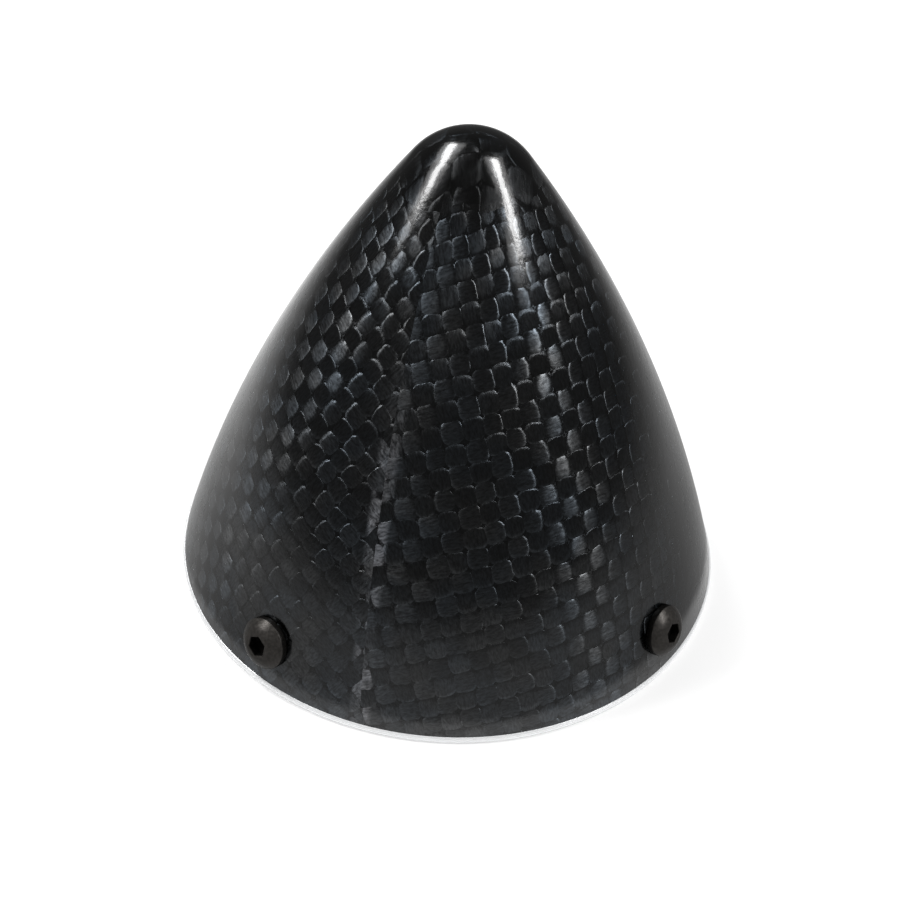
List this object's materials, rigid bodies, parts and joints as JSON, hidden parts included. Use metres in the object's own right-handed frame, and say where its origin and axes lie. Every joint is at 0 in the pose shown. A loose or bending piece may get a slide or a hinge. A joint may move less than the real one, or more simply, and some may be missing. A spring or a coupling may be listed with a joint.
{
  "type": "propeller spinner",
  "caption": "Pointed propeller spinner for a model aeroplane: an uncut carbon fibre cone screwed to a machined aluminium backplate with a shaft bore.",
  "frame": {"origin": "centre of the backplate's rear face, on the shaft's axis", "axes": "+Z along the shaft towards the nose; the four cone screws stand at 45 degrees to +X and +Y"},
  "size_m": [0.0636, 0.0636, 0.0536],
  "materials": {
    "backplate_aluminium": "satin",
    "cone_carbon": "gloss",
    "screw_black_oxide": "satin"
  },
  "bodies": {
    "spinner": {"backplate": "backplate_aluminium", "spinner_cone": "cone_carbon"},
    "screw_1": {"cone_screw_1": "screw_black_oxide"},
    "screw_2": {"cone_screw_2": "screw_black_oxide"},
    "screw_3": {"cone_screw_3": "screw_black_oxide"},
    "screw_4": {"cone_screw_4": "screw_black_oxide"}
  },
  "joints": [
    {"name": "screw_1_withdraw", "type": "slide", "parent": "spinner", "child": "screw_1", "axis": [0.6705, 0.6705, 0.3175], "range_m": [0, 0.01]},
    {"name": "screw_2_withdraw", "type": "slide", "parent": "spinner", "child": "screw_2", "axis": [-0.6705, 0.6705, 0.3175], "range_m": [0, 0.01]},
    {"name": "screw_3_withdraw", "type": "slide", "parent": "spinner", "child": "screw_3", "axis": [-0.6705, -0.6705, 0.3175], "range_m": [0, 0.01]},
    {"name": "screw_4_withdraw", "type": "slide", "parent": "spinner", "child": "screw_4", "axis": [0.6705, -0.6705, 0.3175], "range_m": [0, 0.01]}
  ]
}
